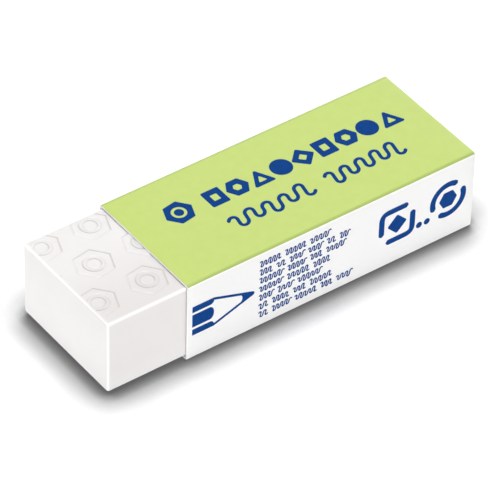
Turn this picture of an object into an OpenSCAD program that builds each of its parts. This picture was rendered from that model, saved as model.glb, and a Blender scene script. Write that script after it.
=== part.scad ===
// Rubber eraser in a folded card sleeve.
// The block lies along X with its bare end at -X, and the sleeve rests on z = 0.
// The origin is under the middle of the whole object.

/* [Block] */
// Length of the rubber block
block_l = 64.8; // [45:0.1:80]
// Width of the rubber block
block_w = 21.1; // [15:0.1:30]
// Height of the rubber block, without its relief
block_h = 12.9; // [10:0.1:16]
// Radius of the four long edges
long_edge_r = 0.4; // [0.3:0.1:1.5]
// Radius of the edges round both ends
end_edge_r = 0.4; // [0.3:0.1:1.2]

/* [Relief] */
// Height of the relief over the top face
relief_rise = 0.1; // [0.05:0.01:0.12]
// Size of one hexagon, corner to corner
hexagon_d = 6; // [5:0.1:7]
// Radius of the dot in a hexagon's middle
dot_r = 1; // [0.6:0.1:1.2]
// Width of the groove round the dot
groove_w = 0.7; // [0.3:0.1:0.9]
// Distance between hexagons along the block
pitch_x = 8.4; // [7.5:0.1:12]
// Distance between rows across the block
pitch_y = 7.1; // [6.5:0.1:10]
// Turn of each hexagon in the plane
hexagon_turn = 9; // [0:1:60]

/* [Sleeve] */
// Length of the sleeve
sleeve_l = 51.5; // [30:0.1:60]
// Thickness of the card
card_t = 0.3; // [0.25:0.05:0.5]
// Inside radius of the creases
crease_r = 0.2; // [0.15:0.05:0.4]
// Width of the glue flap inside the bottom panel
flap_w = 9; // [6:0.5:12]
// How far the outer bottom panel stops short of the back
seam_set_back = 1.4; // [1.2:0.1:3]
// Length of the block that stands out of the sleeve
stand_out = 13.5; // [0:0.1:20]

/* [Fit] */
// Gap between the block and each side panel
side_gap = 0.1; // [0.05:0.01:0.2]
// Gap between the block and the glue flap
under_gap = 0.05; // [0.02:0.01:0.1]
// Gap between the block's top face and the top panel
top_gap = 0.15; // [0.13:0.01:0.3]

/* [Hidden] */
$fn = 64;

rubber_white = [0.95, 0.94, 0.93];
card_white = [0.96, 0.96, 0.95];
lime_print = [0.80, 0.88, 0.51];

crease_out_r = crease_r + card_t;
sleeve_w = block_w + 2 * (side_gap + card_t);
sleeve_h = block_h + under_gap + top_gap + 3 * card_t;
block_z = 2 * card_t + under_gap;
whole_l = stand_out + sleeve_l;
root_depth = 0.5;

// The relief's rows start near the front edge, and its columns near the bare end.
first_row_y = -5.9;
first_column_x = 1.6;
row_count = ceil(block_w / pitch_y / 2);
column_count = ceil(block_l / pitch_x) + 1;

// The card strip's flat panels in order: bottom, front, top, back, glue flap.
strip_panels = [
    sleeve_w - crease_out_r - seam_set_back,
    sleeve_h - 2 * crease_out_r,
    sleeve_w - 2 * crease_out_r,
    sleeve_h - 2 * crease_out_r - card_t,
    flap_w
];
top_panel = 2;

// A rectangle with round corners, centred.
module round_rectangle(width, height, radius) {
    square([width - 2 * radius, height], center = true);
    square([width, height - 2 * radius], center = true);
    for (x = [-1, 1], y = [-1, 1])
        translate([x * (width / 2 - radius), y * (height / 2 - radius)])
            circle(r = radius);
}

// The plain block: one prism along each axis, and what all three have in common.
module plain_block() {
    intersection() {
        rotate([90, 0, 90])
            linear_extrude(block_l, center = true)
                round_rectangle(block_w, block_h, long_edge_r);
        rotate([90, 0, 0])
            linear_extrude(block_w, center = true)
                round_rectangle(block_l, block_h, end_edge_r);
        linear_extrude(block_h, center = true)
            round_rectangle(block_l, block_w, end_edge_r);
    }
}

// A hexagon with a dot in a round groove, like the end of a pencil.
module hexagon_motif() {
    difference() {
        rotate(hexagon_turn)
            circle(d = hexagon_d, $fn = 6);
        circle(r = dot_r + groove_w);
    }
    circle(r = dot_r);
}

// Staggered rows of motifs, cut off where the flat of the top face ends.
module relief_outline() {
    intersection() {
        square([block_l - 2 * end_edge_r, block_w - 2 * long_edge_r], center = true);
        for (row = [-row_count : row_count], column = [-1 : column_count])
            translate([
                first_column_x - block_l / 2 + (column + (row % 2) / 2) * pitch_x,
                first_row_y + row * pitch_y
            ])
                hexagon_motif();
    }
}

// The rubber block with its embossed top face.
module eraser_block() {
    color(rubber_white)
        translate([(block_l - whole_l) / 2, 0, block_z + block_h / 2]) {
            plain_block();
            translate([0, 0, block_h / 2 - root_depth])
                linear_extrude(root_depth + relief_rise)
                    relief_outline();
        }
}

// A quarter turn of card, centred on the crease's axis.
module crease() {
    linear_extrude(sleeve_l)
        intersection() {
            difference() {
                circle(r = crease_out_r);
                circle(r = crease_r);
            }
            translate([0, -crease_out_r])
                square(crease_out_r);
        }
}

// The strip from one panel on. Its outer face starts at the origin and runs along X,
// the inside of the sleeve is towards Y, and each crease turns it left.
module folded_strip(panel = 0) {
    color(panel == top_panel ? lime_print : card_white)
        linear_extrude(sleeve_l)
            square([strip_panels[panel], card_t]);
    if (panel < len(strip_panels) - 1)
        translate([strip_panels[panel], 0, 0]) {
            color(panel == top_panel || panel + 1 == top_panel ? lime_print : card_white)
                translate([0, crease_out_r, 0])
                    crease();
            translate([crease_out_r, crease_out_r, 0])
                rotate(90)
                    folded_strip(panel + 1);
        }
}

// The card sleeve: a strip folded round from its seam and glued to itself under the block.
module card_sleeve() {
    translate([whole_l / 2, sleeve_w / 2 - seam_set_back, 0])
        rotate([90, 0, -90])
            folded_strip();
}

eraser_block();
card_sleeve();
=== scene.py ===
import math

import bpy
import numpy as np
from mathutils import Matrix, Vector


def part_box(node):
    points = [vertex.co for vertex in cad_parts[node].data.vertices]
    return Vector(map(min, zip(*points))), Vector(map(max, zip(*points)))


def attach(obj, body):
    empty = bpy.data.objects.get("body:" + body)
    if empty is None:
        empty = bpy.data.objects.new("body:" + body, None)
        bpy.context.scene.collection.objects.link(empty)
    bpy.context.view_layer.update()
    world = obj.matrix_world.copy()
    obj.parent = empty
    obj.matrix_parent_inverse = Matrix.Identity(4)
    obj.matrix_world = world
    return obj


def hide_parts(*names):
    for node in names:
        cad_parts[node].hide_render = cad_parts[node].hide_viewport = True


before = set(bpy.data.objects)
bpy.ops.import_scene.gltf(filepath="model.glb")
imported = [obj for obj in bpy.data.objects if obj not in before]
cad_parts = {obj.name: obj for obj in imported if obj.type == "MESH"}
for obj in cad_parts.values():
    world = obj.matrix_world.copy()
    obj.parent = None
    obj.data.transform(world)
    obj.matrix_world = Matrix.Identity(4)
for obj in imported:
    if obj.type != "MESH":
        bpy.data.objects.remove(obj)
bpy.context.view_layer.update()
mm = 0.001  # the script's own lengths are in millimetres

blockLow, blockHigh = (np.array(corner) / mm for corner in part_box("eraser_block"))
sleeveLow, sleeveHigh = (np.array(corner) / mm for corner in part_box("card_sleeve"))


# Meshes

def smoothStep(low, high, value):
    # 0 at low, 1 at high, and 3t squared less 2t cubed between them
    t = np.clip((value - low) / (high - low), 0, 1)
    return t * t * (3 - 2 * t)


def ringQuads(rows, columns):
    # each quad joins a grid point to its neighbours along both parameters; the last column meets the first
    index = np.arange(rows * columns).reshape(rows, columns)
    index = np.column_stack([index, index[:, 0]])
    corners = [index[:-1, :-1], index[:-1, 1:], index[1:, 1:], index[1:, :-1]]
    return np.stack(corners, -1).reshape(-1, 4)


def tubeFaces(rows, columns):
    # the quads of a tube, and one face over each end
    last = (rows - 1) * columns
    ends = [list(range(columns - 1, -1, -1)), list(range(last, last + columns))]
    return ringQuads(rows, columns).tolist() + ends


def joinShells(shells):
    # puts several (points, faces) pairs in one, each one's faces moved up by the points before it
    starts = np.cumsum([0] + [len(points) for points, _ in shells])
    faces = []
    for (_, shellFaces), start in zip(shells, starts):
        faces += [(np.asarray(face) + start).tolist() for face in shellFaces]
    return np.concatenate([points for points, _ in shells]), faces


def makePiece(name, points, faces, materials, body, smooth=True, finishOfFace=None, shares=None):
    mesh = bpy.data.meshes.new(name)
    mesh.from_pydata((points * mm).tolist(), [], faces)
    mesh.polygons.foreach_set("use_smooth", np.full(len(faces), smooth))
    for material in materials:
        mesh.materials.append(material)
    if finishOfFace is not None:
        mesh.polygons.foreach_set("material_index", np.asarray(finishOfFace, np.int32))
    for key, share in (shares or {}).items():
        mesh.attributes.new(key, "FLOAT", "POINT").data.foreach_set("value", share.ravel())
    mesh.update()
    mesh.validate()
    piece = bpy.data.objects.new(name, mesh)
    bpy.context.scene.collection.objects.link(piece)
    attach(piece, body)
    print("made", name, len(mesh.vertices), "points")
    return piece


# Finishes

def newMaterial(name):
    # the material, its tree, its shader and the piece's own coordinates
    material = bpy.data.materials.new(name)
    material.use_nodes = True
    tree = material.node_tree
    place = addNode(tree, "ShaderNodeTexCoord").outputs["Object"]
    return material, tree, tree.nodes["Principled BSDF"], place


def addNode(tree, kind, values=None, **settings):
    node = tree.nodes.new(kind)
    for key, value in settings.items():
        setattr(node, key, value)
    for key, value in (values or {}).items():
        if isinstance(value, bpy.types.NodeSocket):
            tree.links.new(value, node.inputs[key])
        else:
            node.inputs[key].default_value = value
    return node


def noiseOf(tree, place, size, detail=3.0, stretch=(1, 1, 1), roughness=0.55):
    # cloud noise whose blots are about size millimetres across, read from the piece's own coordinates
    mapping = addNode(tree, "ShaderNodeMapping", {"Vector": place, "Scale": stretch})
    values = {
        "Vector": mapping.outputs[0],
        "Scale": 1 / (size * mm),
        "Detail": detail,
        "Roughness": roughness,
    }
    return addNode(tree, "ShaderNodeTexNoise", values).outputs["Fac"]


def mathOf(tree, operation, *values):
    return addNode(tree, "ShaderNodeMath", dict(enumerate(values)), operation=operation).outputs[0]


def rangeOf(tree, value, start, end, low=0.0, high=1.0, **settings):
    # a number that runs from low to high as value runs from start to end
    values = {"Value": value, "From Min": start, "From Max": end, "To Min": low, "To Max": high}
    return addNode(tree, "ShaderNodeMapRange", values, **settings).outputs["Result"]


def between(tree, noise, low=0.0, high=1.0):
    # a number that runs from low to high over the part of its range that a noise mostly takes
    return rangeOf(tree, noise, 0.3, 0.7, low, high)


def mixColours(tree, share, first, second):
    # first where the share is 0, second where it is 1; each may be a colour or a socket
    node = addNode(tree, "ShaderNodeMix", data_type="RGBA")
    for socket, value in ((node.inputs[0], share), (node.inputs[6], first), (node.inputs[7], second)):
        if isinstance(value, bpy.types.NodeSocket):
            tree.links.new(value, socket)
        elif isinstance(value, float):
            socket.default_value = value
        else:
            socket.default_value = (*value, 1)
    return node.outputs[2]


def bumpOf(tree, height, depth, under=None):
    # height from 0 to 1 stands for depth millimetres
    values = {"Height": height, "Distance": depth * mm}
    if under is not None:
        values["Normal"] = under
    return addNode(tree, "ShaderNodeBump", values).outputs["Normal"]


def openSky(tree, reach, power, samples=8):
    # the share of directions with nothing in them within reach millimetres, raised to a power
    clear = addNode(tree, "ShaderNodeAmbientOcclusion", {"Distance": reach * mm}, samples=samples)
    return mathOf(tree, "POWER", clear.outputs["AO"], power)


rubber = {
    "pale": (0.885, 0.866, 0.854),
    "deep": (0.862, 0.843, 0.832),
    "cloudSize": 7.0,  # of the blots of pale and deep
    "fleck": (0.78, 0.77, 0.75),
    "fleckSize": 0.22,
    "fleckRange": (0.71, 0.76),  # of the noise, from where the flecks start to where they are full
    "edge": (0.95, 0.945, 0.938),  # painted highlight along the rounded edges, and painted light at the foot of the sides
    "frontShade": (0.79, 0.76, 0.75),  # painted shade, darker towards the front
    "stepShade": (0.50, 0.48, 0.47),  # painted shade along the foot of the relief and beside the sleeve's mouth
    "grainSize": 0.16,
    "grainDepth": 0.004,
    "dragSize": 0.9,  # of the faint marks drawn out along the block
    "dragStretch": (0.12, 1, 1),
    "dragDepth": 0.006,
    "roughness": (0.5, 0.62),
    "gloss": 0.4,
    "softness": 0.12,  # share of light that goes into the rubber
    "softReach": (1.0, 0.9, 0.8),  # of red, green and blue light, against softDepth
    "softDepth": 0.6,
}

card = {
    "pale": (0.945, 0.941, 0.934),
    "deep": (0.927, 0.923, 0.917),
    "fibreSize": 0.25,
    "fibreStretch": (0.5, 1, 1),
    "fibreDepth": 0.0015,
    "roughness": (0.36, 0.46),
    "gloss": 0.4,
    "rawPale": (0.94, 0.935, 0.94),
    "rawDeep": (0.89, 0.885, 0.89),
    "rawFibreSize": 0.12,
    "rawFibreStretch": (0.35, 1, 1),
    "rawFibreDepth": 0.01,
    "rawRoughness": (0.8, 0.95),
    "rawGloss": 0.25,
    "cutShade": (0.79, 0.75, 0.80),  # painted shade on the top's cut edge, beside the gap over the block
    "cutShadeFrom": 0.7,  # distance below the top at which the painted shade starts, and where it is full
    "cutShadeTo": 0.3,
}

ink = {
    "lime": (0.576, 0.714, 0.193),
    "limeDeep": (0.556, 0.691, 0.180),
    "limeBlotSize": 1.6,
    "limeFoldShade": (0.38, 0.50, 0.12),
    "foldFrom": 0.8,  # from the side panels, where the painted shade over the folds starts and where it is darkest
    "foldTo": 0.15,
    "limeGloss": 0.3,
    "blue": (0.003, 0.0575, 0.262),
    "blueDeep": (0.0025, 0.0485, 0.235),
    "blueBlotSize": 0.7,
    "blueGloss": 0.03,
    "roughness": (0.34, 0.44),
}


def rubberFinish():
    # smooth white rubber: soft clouds, a few mineral flecks, a fine grain and light that sinks in a little
    material, tree, shader, place = newMaterial("whiteRubber")
    cloud = between(tree, noiseOf(tree, place, rubber["cloudSize"], 2.0))
    colour = mixColours(tree, cloud, rubber["pale"], rubber["deep"])
    fleck = rangeOf(tree, noiseOf(tree, place, rubber["fleckSize"], 1.0), *rubber["fleckRange"])
    colour = mixColours(tree, fleck, colour, rubber["fleck"])
    # painted shade towards the front, painted shade at the steps and beside the sleeve's mouth, and
    # painted highlight on the edges with painted light at the foot
    for tone in ("frontShade", "stepShade", "edge"):
        share = addNode(tree, "ShaderNodeAttribute", attribute_name=tone + "Share").outputs["Fac"]
        colour = mixColours(tree, share, colour, rubber[tone])
    tree.links.new(colour, shader.inputs["Base Color"])
    grain = noiseOf(tree, place, rubber["grainSize"])
    drag = noiseOf(tree, place, rubber["dragSize"], 2.0, rubber["dragStretch"])
    tree.links.new(between(tree, drag, *rubber["roughness"]), shader.inputs["Roughness"])
    dragBump = bumpOf(tree, drag, rubber["dragDepth"])
    tree.links.new(bumpOf(tree, grain, rubber["grainDepth"], dragBump), shader.inputs["Normal"])
    shader.inputs["Subsurface Weight"].default_value = rubber["softness"]
    shader.inputs["Subsurface Radius"].default_value = rubber["softReach"]
    shader.inputs["Subsurface Scale"].default_value = rubber["softDepth"] * mm
    shader.inputs["Specular IOR Level"].default_value = rubber["gloss"]
    return material


def cardFinish():
    # coated card: an even white with faint fibres under the coating
    material, tree, shader, place = newMaterial("coatedCard")
    fibre = noiseOf(tree, place, card["fibreSize"], 4.0, card["fibreStretch"])
    white = mixColours(tree, between(tree, fibre), card["pale"], card["deep"])
    tree.links.new(white, shader.inputs["Base Color"])
    tree.links.new(between(tree, fibre, *card["roughness"]), shader.inputs["Roughness"])
    tree.links.new(bumpOf(tree, fibre, card["fibreDepth"]), shader.inputs["Normal"])
    shader.inputs["Specular IOR Level"].default_value = card["gloss"]
    return material


def boardFinish():
    # the card's raw inside and cut edges: matt, with fibres that stand up
    material, tree, shader, place = newMaterial("rawBoard")
    fibre = noiseOf(tree, place, card["rawFibreSize"], 5.0, card["rawFibreStretch"])
    raw = mixColours(tree, between(tree, fibre), card["rawPale"], card["rawDeep"])
    level = addNode(tree, "ShaderNodeSeparateXYZ", {0: place}).outputs["Z"]
    # painted shade: the raw board darker towards the top of the sleeve
    cutShadeLevels = [(sleeveHigh[2] - card[key]) * mm for key in ("cutShadeFrom", "cutShadeTo")]
    cutShade = mixColours(tree, rangeOf(tree, level, *cutShadeLevels), raw, card["cutShade"])
    tree.links.new(cutShade, shader.inputs["Base Color"])
    tree.links.new(between(tree, fibre, *card["rawRoughness"]), shader.inputs["Roughness"])
    tree.links.new(bumpOf(tree, fibre, card["rawFibreDepth"]), shader.inputs["Normal"])
    shader.inputs["Specular IOR Level"].default_value = card["rawGloss"]
    return material


def limeInk():
    # a flat field of lime ink, with painted shade where it runs over the long folds
    material, tree, shader, place = newMaterial("limeInk")
    blot = between(tree, noiseOf(tree, place, ink["limeBlotSize"], 4.0))
    flat = mixColours(tree, blot, ink["lime"], ink["limeDeep"])
    across = addNode(tree, "ShaderNodeSeparateXYZ", {0: place}).outputs["Y"]
    distance = mathOf(tree, "ABSOLUTE", across)
    foldPlaces = [(sleeveHigh[1] - ink[key]) * mm for key in ("foldFrom", "foldTo")]
    # painted shade over the long folds
    foldShade = rangeOf(tree, distance, *foldPlaces, interpolation_type="SMOOTHSTEP")
    tree.links.new(mixColours(tree, foldShade, flat, ink["limeFoldShade"]), shader.inputs["Base Color"])
    fibre = noiseOf(tree, place, card["fibreSize"], 4.0, card["fibreStretch"])
    tree.links.new(between(tree, fibre, *ink["roughness"]), shader.inputs["Roughness"])
    tree.links.new(bumpOf(tree, fibre, card["fibreDepth"]), shader.inputs["Normal"])
    shader.inputs["Specular IOR Level"].default_value = ink["limeGloss"]
    return material


def blueInk():
    # dense blue ink with slight mottling
    material, tree, shader, place = newMaterial("blueInk")
    blot = between(tree, noiseOf(tree, place, ink["blueBlotSize"], 4.0))
    tree.links.new(mixColours(tree, blot, ink["blue"], ink["blueDeep"]), shader.inputs["Base Color"])
    tree.links.new(between(tree, blot, *ink["roughness"]), shader.inputs["Roughness"])
    shader.inputs["Specular IOR Level"].default_value = ink["blueGloss"]
    return material


whiteRubber = rubberFinish()
coatedCard = cardFinish()
rawBoard = boardFinish()
limeField = limeInk()
bluePrint = blueInk()
print("finishes made")


# Block

block = {
    "endRadius": 0.4,
    "longRadius": 0.45,  # a little more than endRadius, so that the end faces keep small round corners
    "bareStep": 0.09,  # mesh step along the part that stands out of the sleeve
    "coveredSteps": 170,
    "acrossSteps": 200,
    "cornerSteps": 7,
    "capRing": 0.02,
    "reliefRise": 0.1,
    "hexagonSize": 6.0,
    "hexagonTurn": 9.0,
    "dotRadius": 1.0,
    "grooveWidth": 0.7,
    "pitchAlong": 8.4,
    "pitchAcross": 7.1,
    "firstAlong": 1.6,  # from the bare end
    "firstAcross": -5.9,
    "rows": (-2, 3),  # numbers of the first row of motifs and of the one past the last
    "columns": (-1, 10),
    "softEdge": 0.06,  # half the width of the relief's slopes
    "fade": 0.12,  # how soon the relief rises beside the rounded edges
    "frontShadeFrom": 5.0,  # across the top face, where the painted shade starts and where it is full
    "frontShadeTo": -9.5,
    "frontShadeOnFront": 0.5,  # share of the painted shade on the front face
    "stepShadeShare": 0.95,
    "stepShadeEven": 0.25,  # share of the painted shade that lies on all sides of a step alike
    "stepShadeTurn": 35,  # the way to the painted shade's darkest side, from +X towards +Y
    "stepShadeFrom": 0.07,  # from a motif's outline to the middle of the painted shade along it
    "stepShadeWidth": 0.12,
    "mouthShade": 0.36,  # painted shade beside the sleeve's mouth on the front face, where the card's step shades the block
    "mouthFaint": 0.14,  # and on the others
    "mouthReach": 0.47,
    "mouthCovered": 4,  # how many times as steep it falls off under the card
    "edgeFall": 0.14645,  # an edge takes the full painted highlight where its normal's largest part is this much under 1
    "footLight": 0.45,  # share of the painted light at the foot of the sides, which lightens the shade that the floor leaves there
    "footHeight": 4.0,
}


def motifGap(x, y):
    # signed distance to a motif's outline, negative inside: a hexagon less a round groove, and the dot
    normals = np.radians(block["hexagonTurn"] + 30 + 60 * np.arange(6))
    across = x[..., None] * np.cos(normals) + y[..., None] * np.sin(normals)
    hexagon = across.max(-1) - block["hexagonSize"] / 2 * math.cos(math.radians(30))
    radius = np.hypot(x, y)
    plate = np.maximum(hexagon, block["dotRadius"] + block["grooveWidth"] - radius)
    return np.minimum(plate, radius - block["dotRadius"])


def patternGap(x, y):
    # the same distance for rows of motifs, each odd row half a pitch along: the nearest motif counts
    nearest = np.full(x.shape, np.inf)
    for row in range(*block["rows"]):
        middleY = block["firstAcross"] + row * block["pitchAcross"]
        for column in range(*block["columns"]):
            steps = column + math.fmod(row, 2) / 2
            middleX = blockLow[0] + block["firstAlong"] + steps * block["pitchAlong"]
            nearest = np.minimum(nearest, motifGap(x - middleX, y - middleY))
    return nearest


def reliefOf(x, y):
    # soft-edged steps at the outlines, faded out where the flat of the top ends
    nearest = patternGap(x, y)
    step = 1 - smoothStep(-block["softEdge"], block["softEdge"], nearest)
    # the painted shade is a bell curve of the distance, fuller where the distance grows along the turn
    small = 0.05  # a step that tells how fast it grows that way
    turn = math.radians(block["stepShadeTurn"])
    further = patternGap(x + small * math.cos(turn), y + small * math.sin(turn))
    side = block["stepShadeEven"] + (1 - block["stepShadeEven"]) * np.clip((further - nearest) / small, 0, 1)
    bell = np.exp(-((nearest - block["stepShadeFrom"]) / block["stepShadeWidth"]) ** 2)
    flatX = np.minimum(x - blockLow[0], blockHigh[0] - x) - block["endRadius"]
    flatY = blockHigh[1] - block["longRadius"] - np.abs(y)
    shown = smoothStep(0, block["fade"], flatX) * smoothStep(0, block["fade"], flatY)
    return block["reliefRise"] * step * shown, block["stepShadeShare"] * side * bell * shown


def roundedSection(halfWidth, halfHeight, radius, topSteps):
    # the outline of an inner rectangle and the normals along it, to be pushed out by the radius
    flatY, flatZ = halfWidth - radius, halfHeight - radius
    turn = np.linspace(0, np.pi / 2, block["cornerSteps"] + 1)
    near = 0.06  # a step this close to each corner keeps the flats' shading flat
    inset, underSteps = 2.0, 5  # the underside needs few
    underEven = np.linspace(inset - flatY, flatY - inset, underSteps + 1)
    topFlat = np.linspace(flatY, -flatY, topSteps + 1)[1:-1]
    sideFlat = np.array([near - flatZ, -flatZ / 2, 0, flatZ / 2, flatZ - near])
    underFlat = np.concatenate([[near - flatY], underEven, [flatY - near]])
    corners = [(flatY, flatZ), (-flatY, flatZ), (-flatY, -flatZ), (flatY, -flatZ)]
    # the flat after each corner, counter-clockwise from the top
    flats = [
        np.column_stack([topFlat, np.full(len(topFlat), flatZ)]),
        np.column_stack([np.full(len(sideFlat), -flatY), -sideFlat]),
        np.column_stack([underFlat, np.full(len(underFlat), -flatZ)]),
        np.column_stack([np.full(len(sideFlat), flatY), sideFlat]),
    ]
    points, normals = [], []
    for quarter, (corner, flat) in enumerate(zip(corners, flats)):
        angle = quarter * np.pi / 2 + np.concatenate([turn, np.full(len(flat), np.pi / 2)])
        points += [np.tile(corner, (len(turn), 1)), flat]
        normals.append(np.column_stack([np.cos(angle), np.sin(angle)]))
    return np.concatenate(points), np.concatenate(normals)


def rubberShares(x, z, onFront, normal, endTurn):
    # painted highlight on the edges: its share grows as the largest part of the normal falls from the 1
    # that it has on the flats
    largest = np.maximum(np.cos(endTurn), np.sin(endTurn) * np.abs(normal).max(1))
    edge = np.clip((1 - largest) / block["edgeFall"], 0, 1)
    # painted light at the foot of the sides, fading upwards
    foot = block["footLight"] * (1 - smoothStep(blockLow[2], blockLow[2] + block["footHeight"], z))
    # the painted shade beside the sleeve's mouth is a bell curve of the distance from it, steeper under
    # the card
    fromMouth = x - sleeveLow[0]
    steepness = np.where(fromMouth < 0, 1, block["mouthCovered"]) / block["mouthReach"]
    mouthShare = np.where(onFront, block["mouthShade"], block["mouthFaint"])
    return np.maximum(edge, foot), mouthShare * np.exp(-(fromMouth * steepness) ** 2)


def makeBlock():
    # the section is carried along X, and its radius shrinks by a quarter circle at each end
    height = blockHigh[2] - block["reliefRise"] - blockLow[2]
    inner, normal = roundedSection(blockHigh[1], height / 2, block["longRadius"], block["acrossSteps"])
    turn = np.linspace(0, np.pi / 2, block["cornerSteps"] + 1)
    endX = block["endRadius"] * (1 - np.cos(turn))
    endInset = block["endRadius"] * (1 - np.sin(turn))
    flatStart, flatEnd = blockLow[0] + block["endRadius"], blockHigh[0] - block["endRadius"]
    bare = np.arange(flatStart, sleeveLow[0], block["bareStep"])[1:-1]
    covered = np.linspace(sleeveLow[0], flatEnd, block["coveredSteps"] + 1)[:-1]
    flat = np.concatenate([bare, covered])
    # a last ring on each end face keeps its shading flat
    ringInset = block["longRadius"] - block["capRing"]
    along = np.concatenate([
        [blockLow[0]],
        blockLow[0] + endX,
        flat,
        blockHigh[0] - endX[::-1],
        [blockHigh[0]],
    ])
    inset = np.concatenate([[ringInset], endInset, np.zeros(len(flat)), endInset[::-1], [ringInset]])
    endTurn = np.concatenate([[0], turn, np.full(len(flat), np.pi / 2), turn[::-1], [0]])[:, None]
    section = inner + (block["longRadius"] - inset)[:, None, None] * normal
    x = np.broadcast_to(along[:, None], section.shape[:2])
    y, z = section[..., 0], section[..., 1] + blockLow[2] + height / 2
    flush = 0.999  # a normal this close to an axis belongs to a flat
    onTop = normal[:, 1] > flush
    onFront = (normal[:, 0] < -flush) & (endTurn > 1)
    relief, stepShade = reliefOf(x, y)
    z = z + relief * onTop
    edgeShare, mouthShade = rubberShares(x, z, onFront, normal, endTurn)
    # painted shade: it grows towards the front of the top face, and is even over the front face
    frontShadeShare = smoothStep(block["frontShadeFrom"], block["frontShadeTo"], y) * onTop + block["frontShadeOnFront"] * onFront
    shares = {
        "edgeShare": edgeShare,
        "frontShadeShare": frontShadeShare,
        "stepShadeShare": np.maximum(stepShade * onTop, mouthShade),
    }
    points = np.stack([x, y, z], -1).reshape(-1, 3)
    faces = tubeFaces(*x.shape)
    piece = makePiece("rubber_block", points, faces, [whiteRubber], "block", shares=shares)
    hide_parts("eraser_block")


makeBlock()


# Sleeve

sleeve = {
    "thickness": 0.3,
    "creaseRadius": 0.2,  # on the inside
    "flapWidth": 9.0,
    "seamSetBack": 1.4,
    "glueLine": 0.02,
    "cutRound": 0.05,  # radius of the cut edges' outer corners
    "cutSteps": 3,
    "creaseSteps": 10,
    "creaseRing": 0.05,  # a step this far outside each crease keeps the panels' shading flat
    "panelSteps": 7,
    "alongSteps": 24,
    "fineSteps": 20000,  # of the sum that folds the strip
}

sleeveWidth = sleeveHigh[1] - sleeveLow[1]
sleeveHeight = sleeveHigh[2] - sleeveLow[2]
outerRadius = sleeve["creaseRadius"] + sleeve["thickness"]
panels = [
    sleeveWidth - outerRadius - sleeve["seamSetBack"],
    sleeveHeight - 2 * outerRadius,
    sleeveWidth - 2 * outerRadius,
    sleeveHeight - 2 * outerRadius - sleeve["thickness"] - sleeve["glueLine"],
    sleeve["flapWidth"],
]
creaseLength = outerRadius * np.pi / 2
stripLengths = np.array([length for panel in panels for length in (panel, creaseLength)][:-1])
stripBreaks = np.concatenate([[0], np.cumsum(stripLengths)])  # panels and creases by turns
stripTurns = -np.pi / 2 * np.arange(len(panels)).repeat(2)
frontCrease = stripBreaks[3]  # between the front panel and the top
backCrease = stripBreaks[5]  # between the top and the back panel


def stripPlace(along):
    # heading turns evenly over each crease; the place is the running sum of small steps along that heading
    fine = np.linspace(0, stripBreaks[-1], sleeve["fineSteps"] + 1)
    middles = (fine[1:] + fine[:-1]) / 2
    heading = np.pi + np.interp(middles, stripBreaks, stripTurns)
    small = fine[1]
    startY = sleeveHigh[1] - sleeve["seamSetBack"]
    placeY = startY + small * np.concatenate([[0], np.cumsum(np.cos(heading))])
    placeZ = sleeveLow[2] + small * np.concatenate([[0], np.cumsum(np.sin(heading))])
    here = np.pi + np.interp(along, stripBreaks, stripTurns)
    outward = np.column_stack([-np.sin(here), np.cos(here)])
    place = np.column_stack([np.interp(along, fine, placeY), np.interp(along, fine, placeZ)])
    return place, outward


def stripStations(start, end):
    # panel steps far apart, crease steps close together, and one just outside each crease
    ring = sleeve["creaseRing"]
    steps = [[start, end]]
    for first in stripBreaks[1:-1:2]:
        steps.append(first + np.linspace(0, creaseLength, sleeve["creaseSteps"] + 1))
        steps.append([first - ring, first + creaseLength + ring])
    for first, last in zip(stripBreaks[0:-1:2], stripBreaks[1::2]):
        steps.append(np.linspace(first, last, sleeve["panelSteps"] + 1)[1:-1])
    steps = np.unique(np.round(np.concatenate(steps), 6))
    return steps[(steps >= start) & (steps <= end)]


def barLoop(x0, x1, outside, inside, radius, alongSteps):
    # a flat bar's outline in length and depth: out along the outside, round two corners and back inside
    turn = np.linspace(0, np.pi / 2, sleeve["cutSteps"] + 1)
    flat = np.linspace(x0 + radius, x1 - radius, alongSteps + 1)
    cornerX, cornerDepth = radius * np.sin(turn), radius * (1 - np.cos(turn))
    loopX = np.concatenate([
        flat,
        x1 - radius + cornerX[1:],
        [x1, x1 - radius],
        flat[::-1][1:-1],
        [x0 + radius, x0],
        x0 + radius - cornerX[::-1][:-1],
    ])
    loopDepth = np.concatenate([
        np.full(len(flat), outside),
        outside + cornerDepth[1:],
        [inside - radius / 2, inside],
        np.full(len(flat) - 2, inside),
        [inside, inside - radius / 2],
        outside + cornerDepth[::-1][:-1],
    ])
    return loopX, loopDepth


def carryBar(stations, loopX, loopDepth):
    # the bar's outline carried along the folded strip, with its depth measured inwards from the outer face
    place, outward = stripPlace(stations)
    yz = place[:, None] - loopDepth[:, None] * outward[:, None]
    x = np.broadcast_to(loopX, yz.shape[:2])
    points = np.concatenate([x[..., None], yz], -1).reshape(-1, 3)
    return points, tubeFaces(*x.shape)


def makeSleeve():
    cutEnds = sleeveLow[0], sleeveHigh[0]
    loop = barLoop(*cutEnds, 0, sleeve["thickness"], sleeve["cutRound"], sleeve["alongSteps"])
    stations = stripStations(0, stripBreaks[-1])
    points, faces = carryBar(stations, *loop)
    # coated on the flat outside, where both corners of a face have no depth, and raw on all the rest
    raw = np.where(np.maximum(loop[1], np.roll(loop[1], -1)) > 0, 1, 0)
    piece = makePiece(
        "folded_sleeve",
        points,
        faces,
        [coatedCard, rawBoard],
        "sleeve",
        finishOfFace=np.concatenate([np.tile(raw, len(stations) - 1), [1, 1]]),
    )
    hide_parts("card_sleeve")


makeSleeve()


# Print

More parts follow.
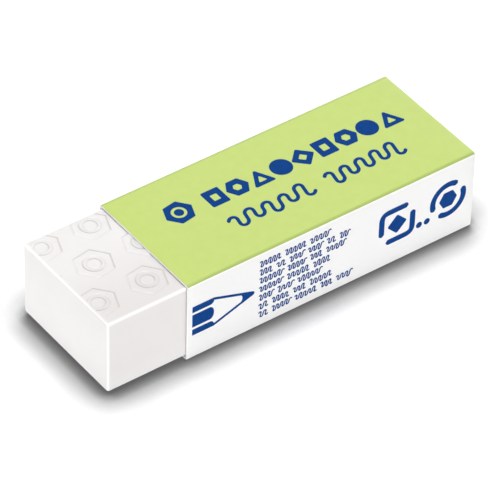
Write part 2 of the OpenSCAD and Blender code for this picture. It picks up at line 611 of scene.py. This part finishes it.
printing = {
    "sink": 0.004,  # how far a print's underside lies in the card
    "limeLift": 0.012,
    "limeRound": 0.006,
    "limeSteps": 12,
    "limeOverFront": 0.55,  # share of the crease that the lime covers
    "limeFromCut": 0.02,
    "blueLift": 0.02,
    "bluntEnd": 0.02,  # share of a stroke's round end that is left blunt
    "waveLeast": 3,  # half circles in the shortest wave
    "waveUneven": (0.72, 1.15),  # smallest and largest height of a half against the even one
    "waveArcSteps": 8,
    "waveSteps": 18,  # to each half
}


def makeLimeField():
    start = frontCrease + creaseLength * (1 - printing["limeOverFront"])
    end = backCrease + creaseLength * printing["limeOverFront"]
    cutEnds = sleeveLow[0] + printing["limeFromCut"], sleeveHigh[0] - printing["limeFromCut"]
    depths = -printing["limeLift"], printing["sink"]
    loop = barLoop(*cutEnds, *depths, printing["limeRound"], printing["limeSteps"])
    points, faces = carryBar(stripStations(start, end), *loop)
    makePiece("lime_field", points, faces, [limeField], "sleeve")


makeLimeField()


def roundedOutline(corners, radius, steps=5):
    # a convex outline, its corners pulled in and pushed out again by the radius along a turning normal
    corners = np.asarray(corners, float)
    edges = np.roll(corners, -1, 0) - corners
    edges /= np.hypot(*edges.T)[:, None]
    before = np.roll(edges, 1, 0)
    normalBefore = np.column_stack([before[:, 1], -before[:, 0]])
    normalAfter = np.column_stack([edges[:, 1], -edges[:, 0]])
    middle = normalBefore + normalAfter
    middle /= (middle * normalAfter).sum(1)[:, None]
    centres = corners - middle * radius
    angles = np.arctan2(normalBefore[:, 1], normalBefore[:, 0])
    # the normal turns by the angle whose sine and cosine are its parts across and along the one before
    sine, cosine = (before * normalAfter).sum(1), (normalBefore * normalAfter).sum(1)
    sweep = np.abs(np.arctan2(sine, cosine))
    turn = angles[:, None] + sweep[:, None] * np.linspace(0, 1, steps + 1)
    outline = centres[:, None] + radius * np.stack([np.cos(turn), np.sin(turn)], -1)
    return outline.reshape(-1, 2)


def regularCorners(sides, size, turn, middle):
    # corners evenly spaced on a circle, the first one at the turn
    angle = np.radians(turn) + 2 * np.pi * np.arange(sides) / sides
    return np.column_stack([np.cos(angle), np.sin(angle)]) * size / 2 + middle


def discOutline(middle, size, steps=40):
    return regularCorners(steps, size, 0, middle)


def inkPlate(outline, lift):
    # a flat plate: the outline at the print's height, and again just inside the card
    count = len(outline)
    top = np.column_stack([outline, np.full(count, lift)])
    bottom = np.column_stack([outline, np.full(count, -printing["sink"])])
    upper = np.arange(count)
    following = np.roll(upper, -1)
    sides = np.column_stack([upper + count, following + count, following, upper])
    faces = [upper.tolist(), (upper[::-1] + count).tolist(), *sides.tolist()]
    return np.concatenate([top, bottom]), faces


def bandGrid(outer, inner, lift):
    # the four corners of a flat band at each point of its two edges
    low = -printing["sink"]
    corners = [(outer, lift), (outer, low), (inner, low), (inner, lift)]
    return np.stack([np.column_stack([line, np.full(len(line), level)]) for line, level in corners], 1)


def inkRing(outer, inner, lift):
    # a flat band between two outlines of as many points, its last row of faces closed on the first
    grid = bandGrid(outer, inner, lift).reshape(-1, 3)
    quads = ringQuads(len(outer) + 1, 4) % len(grid)
    return grid, quads.tolist()


def lengthAlong(path):
    # the running sum of the distances between a path's points
    return np.concatenate([[0], np.cumsum(np.hypot(*np.diff(path, axis=0).T))])


def inkStroke(path, strokeWidth, lift):
    # the path pushed to both sides along its normal; the width closes like a quarter circle at both ends
    tangent = np.gradient(path, axis=0)
    tangent /= np.hypot(*tangent.T)[:, None]
    normal = np.column_stack([-tangent[:, 1], tangent[:, 0]])
    run = lengthAlong(path)
    half = strokeWidth / 2
    fromEnd = np.clip(np.minimum(run, run[-1] - run) / half, 0, 1)
    spread = half * np.sqrt(np.clip(1 - (1 - fromEnd) ** 2, printing["bluntEnd"], 1))[:, None]
    grid = bandGrid(path - normal * spread, path + normal * spread, lift)
    return grid.reshape(-1, 3), tubeFaces(len(path), 4)


def inkWave(style, start, end, base, seed, lift):
    # half circles above and below by turns, joined by straight lines, of uneven height and leaning
    halves = max(printing["waveLeast"], round(2 * (end - start) / style["pitch"]))
    halfPitch = (end - start) / halves
    radius = halfPitch / 2
    uneven = np.random.default_rng(seed).uniform(*printing["waveUneven"], halves)
    number = np.arange(halves)[:, None]
    turn = np.linspace(np.pi, 0, printing["waveArcSteps"] + 1)
    along = start + (number + 0.5) * halfPitch + radius * np.cos(turn)
    up = style["rise"] * uneven[:, None] / 2 - radius + radius * np.sin(turn)
    up = np.where(number % 2 == 0, up, -up)
    run = lengthAlong(np.column_stack([along.ravel(), up.ravel()]))
    even = np.linspace(0, run[-1], halves * printing["waveSteps"])
    along, up = (np.interp(even, run, part.ravel()) for part in (along, up))
    path = np.column_stack([along + style["lean"] * up, base + style["rise"] / 2 + up])
    return inkStroke(path, style["stroke"], lift)


def onTopPanel(points):
    # x from the sleeve's near end, y from its front
    return points + [sleeveLow[0], sleeveLow[1], sleeveHigh[2]]


def onFrontPanel(points):
    # x from the sleeve's near end, y upwards from the table, and the print rises out of the front
    along, up, out = points.T
    return np.column_stack([along, -out, up]) + sleeveLow


topPrint = {
    "emblemAt": (8.3, 13.9),
    "emblemSize": 4.968,  # corner to corner
    "emblemTurn": 9,
    "emblemRound": 0.2,
    "emblemSteps": 7,
    "emblemHole": 2.4,
    "emblemDot": 1.5,
    "row": ("square", "hexagon", "triangle", "disc", "diamond", "square", "hexagon", "disc", "triangle"),
    "rowStart": 12.6,
    "rowEnd": 47.9,
    "rowBase": 11.9,
    "rowHeight": 3.55,
    "cornerRadius": 0.25,
    "hollow": 0.38,  # size of a frame's hole against its outline
    "words": [(12.8, 27.6), (30.0, 43.9)],
    "wordBase": 6.2,
    "wordSeed": 11,
    "wave": {"rise": 2.8, "pitch": 2.9, "lean": 0.22, "stroke": 0.57},
}

# corners in halves of the row's height; the pointed shapes reach further, to look as big as the others
shapes = {
    "square": [(-0.86, -1), (0.86, -1), (0.86, 1), (-0.86, 1)],
    "triangle": [(-1.08, -1), (1.08, -1), (0, 1)],
    "diamond": [(0, -1.15), (1.15, 0), (0, 1.15), (-1.15, 0)],
    "hexagon": regularCorners(6, 2.2, 0, (0, 0)),
    "disc": regularCorners(28, 2, 0, (0, 0)),
}


def makeTopPrint():
    lift = printing["limeLift"] + printing["blueLift"]
    emblem = topPrint["emblemAt"]
    corners = regularCorners(6, topPrint["emblemSize"], topPrint["emblemTurn"], emblem)
    outline = roundedOutline(corners, topPrint["emblemRound"], topPrint["emblemSteps"])
    hole = discOutline(emblem, topPrint["emblemHole"], len(outline))
    shells = [inkRing(outline, hole, lift), inkPlate(discOutline(emblem, topPrint["emblemDot"]), lift)]
    half = topPrint["rowHeight"] / 2
    pitch = (topPrint["rowEnd"] - topPrint["rowStart"]) / len(topPrint["row"])
    for number, name in enumerate(topPrint["row"]):
        middle = [topPrint["rowStart"] + (number + 0.5) * pitch, topPrint["rowBase"] + half]
        corners = middle + np.array(shapes[name]) * half
        outline = roundedOutline(corners, topPrint["cornerRadius"])
        centre = corners.mean(0)
        smaller = centre + (corners - centre) * topPrint["hollow"]
        hole = roundedOutline(smaller, topPrint["cornerRadius"] / 2)
        shells.append(inkPlate(outline, lift) if name == "disc" else inkRing(outline, hole, lift))
    for number, word in enumerate(topPrint["words"]):
        seed = topPrint["wordSeed"] + number
        shells.append(inkWave(topPrint["wave"], *word, topPrint["wordBase"], seed, lift))
    points, faces = joinShells(shells)
    makePiece("top_print", onTopPanel(points), faces, [bluePrint], "sleeve", smooth=False)


makeTopPrint()


sidePrint = {
    "pencilStart": 0.8,
    "pencilShoulder": 4.6,
    "pencilTip": 12.5,  # where the cone's edges would meet, before the tip is rounded
    "pencilMiddle": 7.15,
    "pencilHeight": 5.4,
    "stripeHeight": 1.1,
    "stripeGap": 0.44,
    "stripeRound": 0.75,
    "coneLine": 0.46,
    "leadFrom": 9.6,
    "leadRound": 0.5,
    "tipRound": 0.38,
    "tipSteps": 6,
    "roundSteps": 8,  # to a quarter turn of the others
    "linesStart": 12.5,
    "linesTop": 11.4,
    "linesPitch": 1.6,
    "linesEnd": (25.1, 28.7, 28.0, 25.3, 23.8, 27.6, 29.4),
    "linesSeed": 5,
    "wordSeed": 100,  # of the first line's first word, 10 on for each line
    "wordLength": (1.6, 4.4),
    "wordGap": 0.6,
    "lastWord": 1.4,  # a line ends where less than this is left of it
    "wave": {"rise": 1.0, "pitch": 0.8, "lean": 0.25, "stroke": 0.235},
    "markStroke": 1.0,
    "markArcs": (55, 235),  # where each mark's two arcs begin, in degrees
    "arcSweep": 150,
    "arcSteps": 39,
    "dots": [(41.55, 5.1), (43.0, 5.1)],
    "dotSize": 1.1,
    "dotSteps": 20,
}

# two arcs round a plain figure: power 2 is a circle, and a larger one a square with round corners
marks = [
    {"at": (37.4, 7.4), "size": 6.7, "power": 6, "sides": 4, "figure": 3.6, "figureRound": 0.3},
    {"at": (46.8, 7.5), "size": 6.7, "power": 2, "sides": 6, "figure": 3.3, "figureRound": 0.25},
]


def ellipseArc(x, y, reachX, reachY, turn):
    # a middle, plus one reach times the turn's cosine along and the other times its sine up
    return np.column_stack([x + reachX * np.cos(turn), y + reachY * np.sin(turn)])


def pencilShells(lift):
    # a closed border, the outer stripes and the cone with its lead, round a middle stripe with a round end
    start, shoulder, tip = sidePrint["pencilStart"], sidePrint["pencilShoulder"], sidePrint["pencilTip"]
    half, stripe, line = sidePrint["pencilHeight"] / 2, sidePrint["stripeHeight"], sidePrint["coneLine"]
    tipRound, leadRound, stripeRound = (sidePrint[key] for key in ("tipRound", "leadRound", "stripeRound"))
    slope = half / (tip - shoulder)  # of the cone's edges
    steep = math.atan(slope)
    turn = np.linspace(0, np.pi / 2, sidePrint["roundSteps"] + 1)
    # upper half from the barrel's end to the tip: straight edges, and a tip circle that touches them
    tipTurn = np.linspace(np.pi / 2 - steep, 0, sidePrint["tipSteps"] + 1)
    tipArc = ellipseArc(tip - tipRound / math.sin(steep), 0, tipRound, tipRound, tipTurn)
    outer = np.concatenate([[(start, half), (shoulder, half)], tipArc])
    # and back along the inside: the lead's hollow edge, the cone's inner edge, the stripe's rounded corner
    leadX = sidePrint["leadFrom"] - leadRound
    leadArc = ellipseArc(leadX, 0, leadRound, (tip - leadX) * slope - line, turn)
    stripeArc = ellipseArc(shoulder - stripeRound, half - line, stripeRound, line - stripe, turn)
    inner = np.concatenate([leadArc, stripeArc, [(start, half - stripe)]])
    mirror = [1, -1]
    border = np.concatenate([outer, outer[::-1][1:] * mirror, inner[::-1][:-1] * mirror, inner])
    middleHalf = half - stripe - sidePrint["stripeGap"]
    endTurn = np.linspace(-np.pi / 2, np.pi / 2, 2 * sidePrint["roundSteps"] + 1)
    bulge = ellipseArc(shoulder - stripeRound, 0, stripeRound, middleHalf, endTurn)
    middle = np.concatenate([[(start, middleHalf), (start, -middleHalf)], bulge])
    raised = [0, sidePrint["pencilMiddle"]]
    return [inkPlate(border[::-1] + raised, lift), inkPlate(middle + raised, lift)]


def markArc(mark, begin):
    # the distance from the middle is one over the power's root of the summed powers of cosine and sine
    angle = np.radians(begin + np.linspace(0, sidePrint["arcSweep"], sidePrint["arcSteps"] + 1))
    ray = np.column_stack([np.cos(angle), np.sin(angle)])
    reach = (np.abs(ray) ** mark["power"]).sum(1) ** (-1 / mark["power"])
    return ray * (reach * (mark["size"] - sidePrint["markStroke"]) / 2)[:, None] + mark["at"]


def makeSidePrint():
    lift = printing["blueLift"]
    shells = pencilShells(lift)
    draw = np.random.default_rng(sidePrint["linesSeed"])
    shortest, longest = sidePrint["wordLength"]
    for number, lineEnd in enumerate(sidePrint["linesEnd"]):
        base = sidePrint["linesTop"] - number * sidePrint["linesPitch"]
        start = sidePrint["linesStart"]
        seed = sidePrint["wordSeed"] + 10 * number
        while start < lineEnd - sidePrint["lastWord"]:
            end = min(start + draw.uniform(shortest, longest), lineEnd)
            end = lineEnd if lineEnd - end < shortest else end
            shells.append(inkWave(sidePrint["wave"], start, end, base, seed, lift))
            start, seed = end + sidePrint["wordGap"], seed + 1
    for begin in sidePrint["markArcs"]:
        shells += [inkStroke(markArc(mark, begin), sidePrint["markStroke"], lift) for mark in marks]
    for mark in marks:
        figure = regularCorners(mark["sides"], mark["figure"], 0, mark["at"])
        shells.append(inkPlate(roundedOutline(figure, mark["figureRound"]), lift))
    for place in sidePrint["dots"]:
        shells.append(inkPlate(discOutline(place, sidePrint["dotSize"], sidePrint["dotSteps"]), lift))
    points, faces = joinShells(shells)
    makePiece("side_print", onFrontPanel(points), faces, [bluePrint], "sleeve", smooth=False)


makeSidePrint()


# Floor, light and camera

floor = {
    "size": 4.0,  # in metres
    "drop": 0.02,  # keeps it clear of the card's underside
    "colour": (0.9, 0.9, 0.9),
    "lift": 0.18,  # light of its own that takes the open floor up to white, where it is seen directly
    "deepLift": 0.12,  # and what is left of it where the shade is deepest
    "wideShade": 7.0,  # how far the soft shade round the object reaches
    "widePower": 2.0,
    "tightShade": 2.0,
    "tightPower": 2.2,
}


def seenDirectly(tree):
    # 1 for what the camera sees, also in a gloss or through glass
    path = addNode(tree, "ShaderNodeLightPath").outputs
    seen = mathOf(tree, "MAXIMUM", path["Is Camera Ray"], path["Is Glossy Ray"])
    return mathOf(tree, "MAXIMUM", seen, path["Is Transmission Ray"])


def makeFloor():
    bpy.ops.mesh.primitive_plane_add(size=floor["size"], location=(0, 0, -floor["drop"] * mm))
    plane = bpy.context.object
    plane.name = "floor"
    material = bpy.data.materials.new("paleFloor")
    material.use_nodes = True
    tree = material.node_tree
    tree.nodes.clear()
    wide = openSky(tree, floor["wideShade"], floor["widePower"])
    tight = openSky(tree, floor["tightShade"], floor["tightPower"])
    openness = mathOf(tree, "MULTIPLY", wide, tight)
    seen = seenDirectly(tree)
    shade = rangeOf(tree, seen, 0.0, 1.0, 1.0, openness)
    colour = mixColours(tree, shade, (0, 0, 0), floor["colour"])
    matt = addNode(tree, "ShaderNodeBsdfDiffuse", {"Color": colour})
    lift = rangeOf(tree, openness, 0.0, 1.0, floor["deepLift"], floor["lift"])
    glow = addNode(tree, "ShaderNodeEmission", {"Strength": mathOf(tree, "MULTIPLY", seen, lift)})
    both = addNode(tree, "ShaderNodeAddShader", {0: matt.outputs[0], 1: glow.outputs[0]})
    addNode(tree, "ShaderNodeOutputMaterial", {"Surface": both.outputs[0]})
    plane.data.materials.append(material)


lamps = {
    # in degrees: tilt from straight up, turn from +X towards +Y, and width as seen from the object
    "overhead": {"tilt": 10, "turn": 45, "strength": 2.1, "width": 20},
    "frontFill": {"tilt": 80, "turn": -80, "strength": 1.48, "width": 40},
    "endFill": {"tilt": 80, "turn": -168, "strength": 2.05, "width": 40},
    "backFill": {"tilt": 80, "turn": 50, "strength": 1.0, "width": 60},
}
lampDistance = 0.6  # in metres; a sun lights alike from any distance
worldLight = 0.07


def makeLamps():
    for name, lamp in lamps.items():
        data = bpy.data.lights.new(name, "SUN")
        data.energy = lamp["strength"]
        data.angle = math.radians(lamp["width"])
        tilt, turn = math.radians(lamp["tilt"]), math.radians(lamp["turn"])
        level = math.sin(tilt)
        towards = Vector((level * math.cos(turn), level * math.sin(turn), math.cos(tilt)))
        sun = bpy.data.objects.new(name, data)
        sun.location = towards * lampDistance
        sun.rotation_euler = towards.to_track_quat("Z", "Y").to_euler()
        bpy.context.scene.collection.objects.link(sun)


def makeWorld():
    world = bpy.data.worlds.new("paleRoom")
    world.use_nodes = True
    tree = world.node_tree
    tree.nodes.clear()
    strength = rangeOf(tree, seenDirectly(tree), 0.0, 1.0, worldLight, 1.0)
    glow = addNode(tree, "ShaderNodeBackground", {"Color": (1, 1, 1, 1), "Strength": strength})
    addNode(tree, "ShaderNodeOutputWorld", {"Surface": glow.outputs[0]})
    bpy.context.scene.world = world


camera = {
    "place": (-294.94, -389.01, 433.3),
    "target": (-2.31, -3.07, 7.0),
    "roll": 1.586,
    "lens": 321.7,
    "sensor": 36,
    "near": 0.01,  # in metres, as far is
    "far": 10,
}


def makeCamera():
    data = bpy.data.cameras.new("photoCamera")
    data.lens = camera["lens"]
    data.sensor_width = camera["sensor"]
    data.clip_start, data.clip_end = camera["near"], camera["far"]
    place, target = (Vector(camera[key]) * mm for key in ("place", "target"))
    back = (place - target).normalized()
    right = Vector((0, 0, 1)).cross(back).normalized()
    up = back.cross(right)
    roll = math.radians(camera["roll"])
    leaned = (
        math.cos(roll) * right + math.sin(roll) * up,
        math.cos(roll) * up - math.sin(roll) * right,
        back,
    )
    eye = bpy.data.objects.new("photoCamera", data)
    eye.matrix_world = Matrix.Translation(place) @ Matrix(leaned).transposed().to_4x4()
    bpy.context.scene.collection.objects.link(eye)
    bpy.context.scene.camera = eye


makeFloor()
makeLamps()
makeWorld()
makeCamera()
bpy.context.scene.view_settings.view_transform = "Standard"
print("floor, lamps and camera made")
